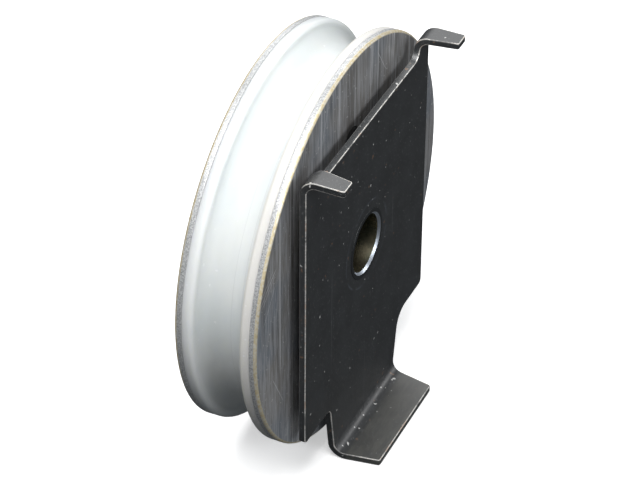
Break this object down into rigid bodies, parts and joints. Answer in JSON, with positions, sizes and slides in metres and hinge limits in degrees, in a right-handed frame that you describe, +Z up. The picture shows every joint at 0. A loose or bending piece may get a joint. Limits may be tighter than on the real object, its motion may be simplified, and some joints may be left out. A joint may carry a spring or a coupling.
{
  "type": "sliding door roller",
  "caption": "Nylon wheel with a round rail groove between two steel side discs, turning on a ball bearing and a hollow bolt bush in a folded steel bracket plate.",
  "frame": {"origin": "centre of the bolt hole, in the outer face of the bracket plate", "axes": "+Y along the axle from the plate to the wheel, +Z up towards the two folded tabs, +X to the right seen from the plate's side"},
  "size_m": [0.085, 0.0312, 0.0879],
  "materials": {
    "black_steel": "satin blackened sheet steel, edges worn bright",
    "plated_steel": "zinc-plated turned steel",
    "ground_steel": "ground face with fine scratches and a yellow zinc rim",
    "rivet_steel": "ground flush",
    "nylon": "natural white nylon, slightly translucent, satin",
    "bearing_steel": "fine ground",
    "ball_steel": "polished",
    "cage_steel": "pressed sheet",
    "spring_steel": "blackened spring steel"
  },
  "bodies": {
    "bracket": {"mounting_plate": "black_steel", "axle_bush": "plated_steel", "rear_spacer": "plated_steel", "retaining_ring": "spring_steel", "bearing_inner_ring": "bearing_steel"},
    "wheel": {"nylon_wheel": "nylon", "front_side_disc": "ground_steel", "rear_side_disc": "ground_steel", "rivet_1": "rivet_steel", "rivet_2": "rivet_steel", "rivet_3": "rivet_steel", "rivet_4": "rivet_steel", "rivet_5": "rivet_steel", "rivet_6": "rivet_steel", "bearing_outer_ring": "bearing_steel", "front_shield": "plated_steel", "rear_shield": "plated_steel"},
    "cage": {"cage_front_half": "cage_steel", "cage_rear_half": "cage_steel"},
    "ball_1": {"ball_1": "ball_steel"},
    "ball_2": {"ball_2": "ball_steel"},
    "ball_3": {"ball_3": "ball_steel"},
    "ball_4": {"ball_4": "ball_steel"},
    "ball_5": {"ball_5": "ball_steel"},
    "ball_6": {"ball_6": "ball_steel"},
    "ball_7": {"ball_7": "ball_steel"},
    "ball_8": {"ball_8": "ball_steel"},
    "ball_9": {"ball_9": "ball_steel"}
  },
  "joints": [
    {"name": "wheel_spin", "type": "hinge", "parent": "bracket", "child": "wheel", "pos_m": [0, 0.01255, 0], "axis": [0, 1, 0], "continuous": true},
    {"name": "cage_spin", "type": "hinge", "parent": "bracket", "child": "cage", "pos_m": [0, 0.01255, 0], "axis": [0, 1, 0], "continuous": true},
    {"name": "ball_1_roll", "type": "hinge", "parent": "cage", "child": "ball_1", "pos_m": [0.01175, 0.01255, 0], "axis": [0, 1, 0], "continuous": true},
    {"name": "ball_2_roll", "type": "hinge", "parent": "cage", "child": "ball_2", "pos_m": [0.009, 0.01255, -0.00755], "axis": [0, 1, 0], "continuous": true},
    {"name": "ball_3_roll", "type": "hinge", "parent": "cage", "child": "ball_3", "pos_m": [0.00204, 0.01255, -0.01157], "axis": [0, 1, 0], "continuous": true},
    {"name": "ball_4_roll", "type": "hinge", "parent": "cage", "child": "ball_4", "pos_m": [-0.00588, 0.01255, -0.01018], "axis": [0, 1, 0], "continuous": true},
    {"name": "ball_5_roll", "type": "hinge", "parent": "cage", "child": "ball_5", "pos_m": [-0.01104, 0.01255, -0.00402], "axis": [0, 1, 0], "continuous": true},
    {"name": "ball_6_roll", "type": "hinge", "parent": "cage", "child": "ball_6", "pos_m": [-0.01104, 0.01255, 0.00402], "axis": [0, 1, 0], "continuous": true},
    {"name": "ball_7_roll", "type": "hinge", "parent": "cage", "child": "ball_7", "pos_m": [-0.00588, 0.01255, 0.01018], "axis": [0, 1, 0], "continuous": true},
    {"name": "ball_8_roll", "type": "hinge", "parent": "cage", "child": "ball_8", "pos_m": [0.00204, 0.01255, 0.01157], "axis": [0, 1, 0], "continuous": true},
    {"name": "ball_9_roll", "type": "hinge", "parent": "cage", "child": "ball_9", "pos_m": [0.009, 0.01255, 0.00755], "axis": [0, 1, 0], "continuous": true}
  ],
  "couplings": [
    {"joint": "cage_spin", "follows": "wheel_spin", "ratio": 0.60128},
    {"joint": "ball_1_roll", "follows": "wheel_spin", "ratio": 2.3672},
    {"joint": "ball_2_roll", "follows": "wheel_spin", "ratio": 2.3672},
    {"joint": "ball_3_roll", "follows": "wheel_spin", "ratio": 2.3672},
    {"joint": "ball_4_roll", "follows": "wheel_spin", "ratio": 2.3672},
    {"joint": "ball_5_roll", "follows": "wheel_spin", "ratio": 2.3672},
    {"joint": "ball_6_roll", "follows": "wheel_spin", "ratio": 2.3672},
    {"joint": "ball_7_roll", "follows": "wheel_spin", "ratio": 2.3672},
    {"joint": "ball_8_roll", "follows": "wheel_spin", "ratio": 2.3672},
    {"joint": "ball_9_roll", "follows": "wheel_spin", "ratio": 2.3672}
  ]
}
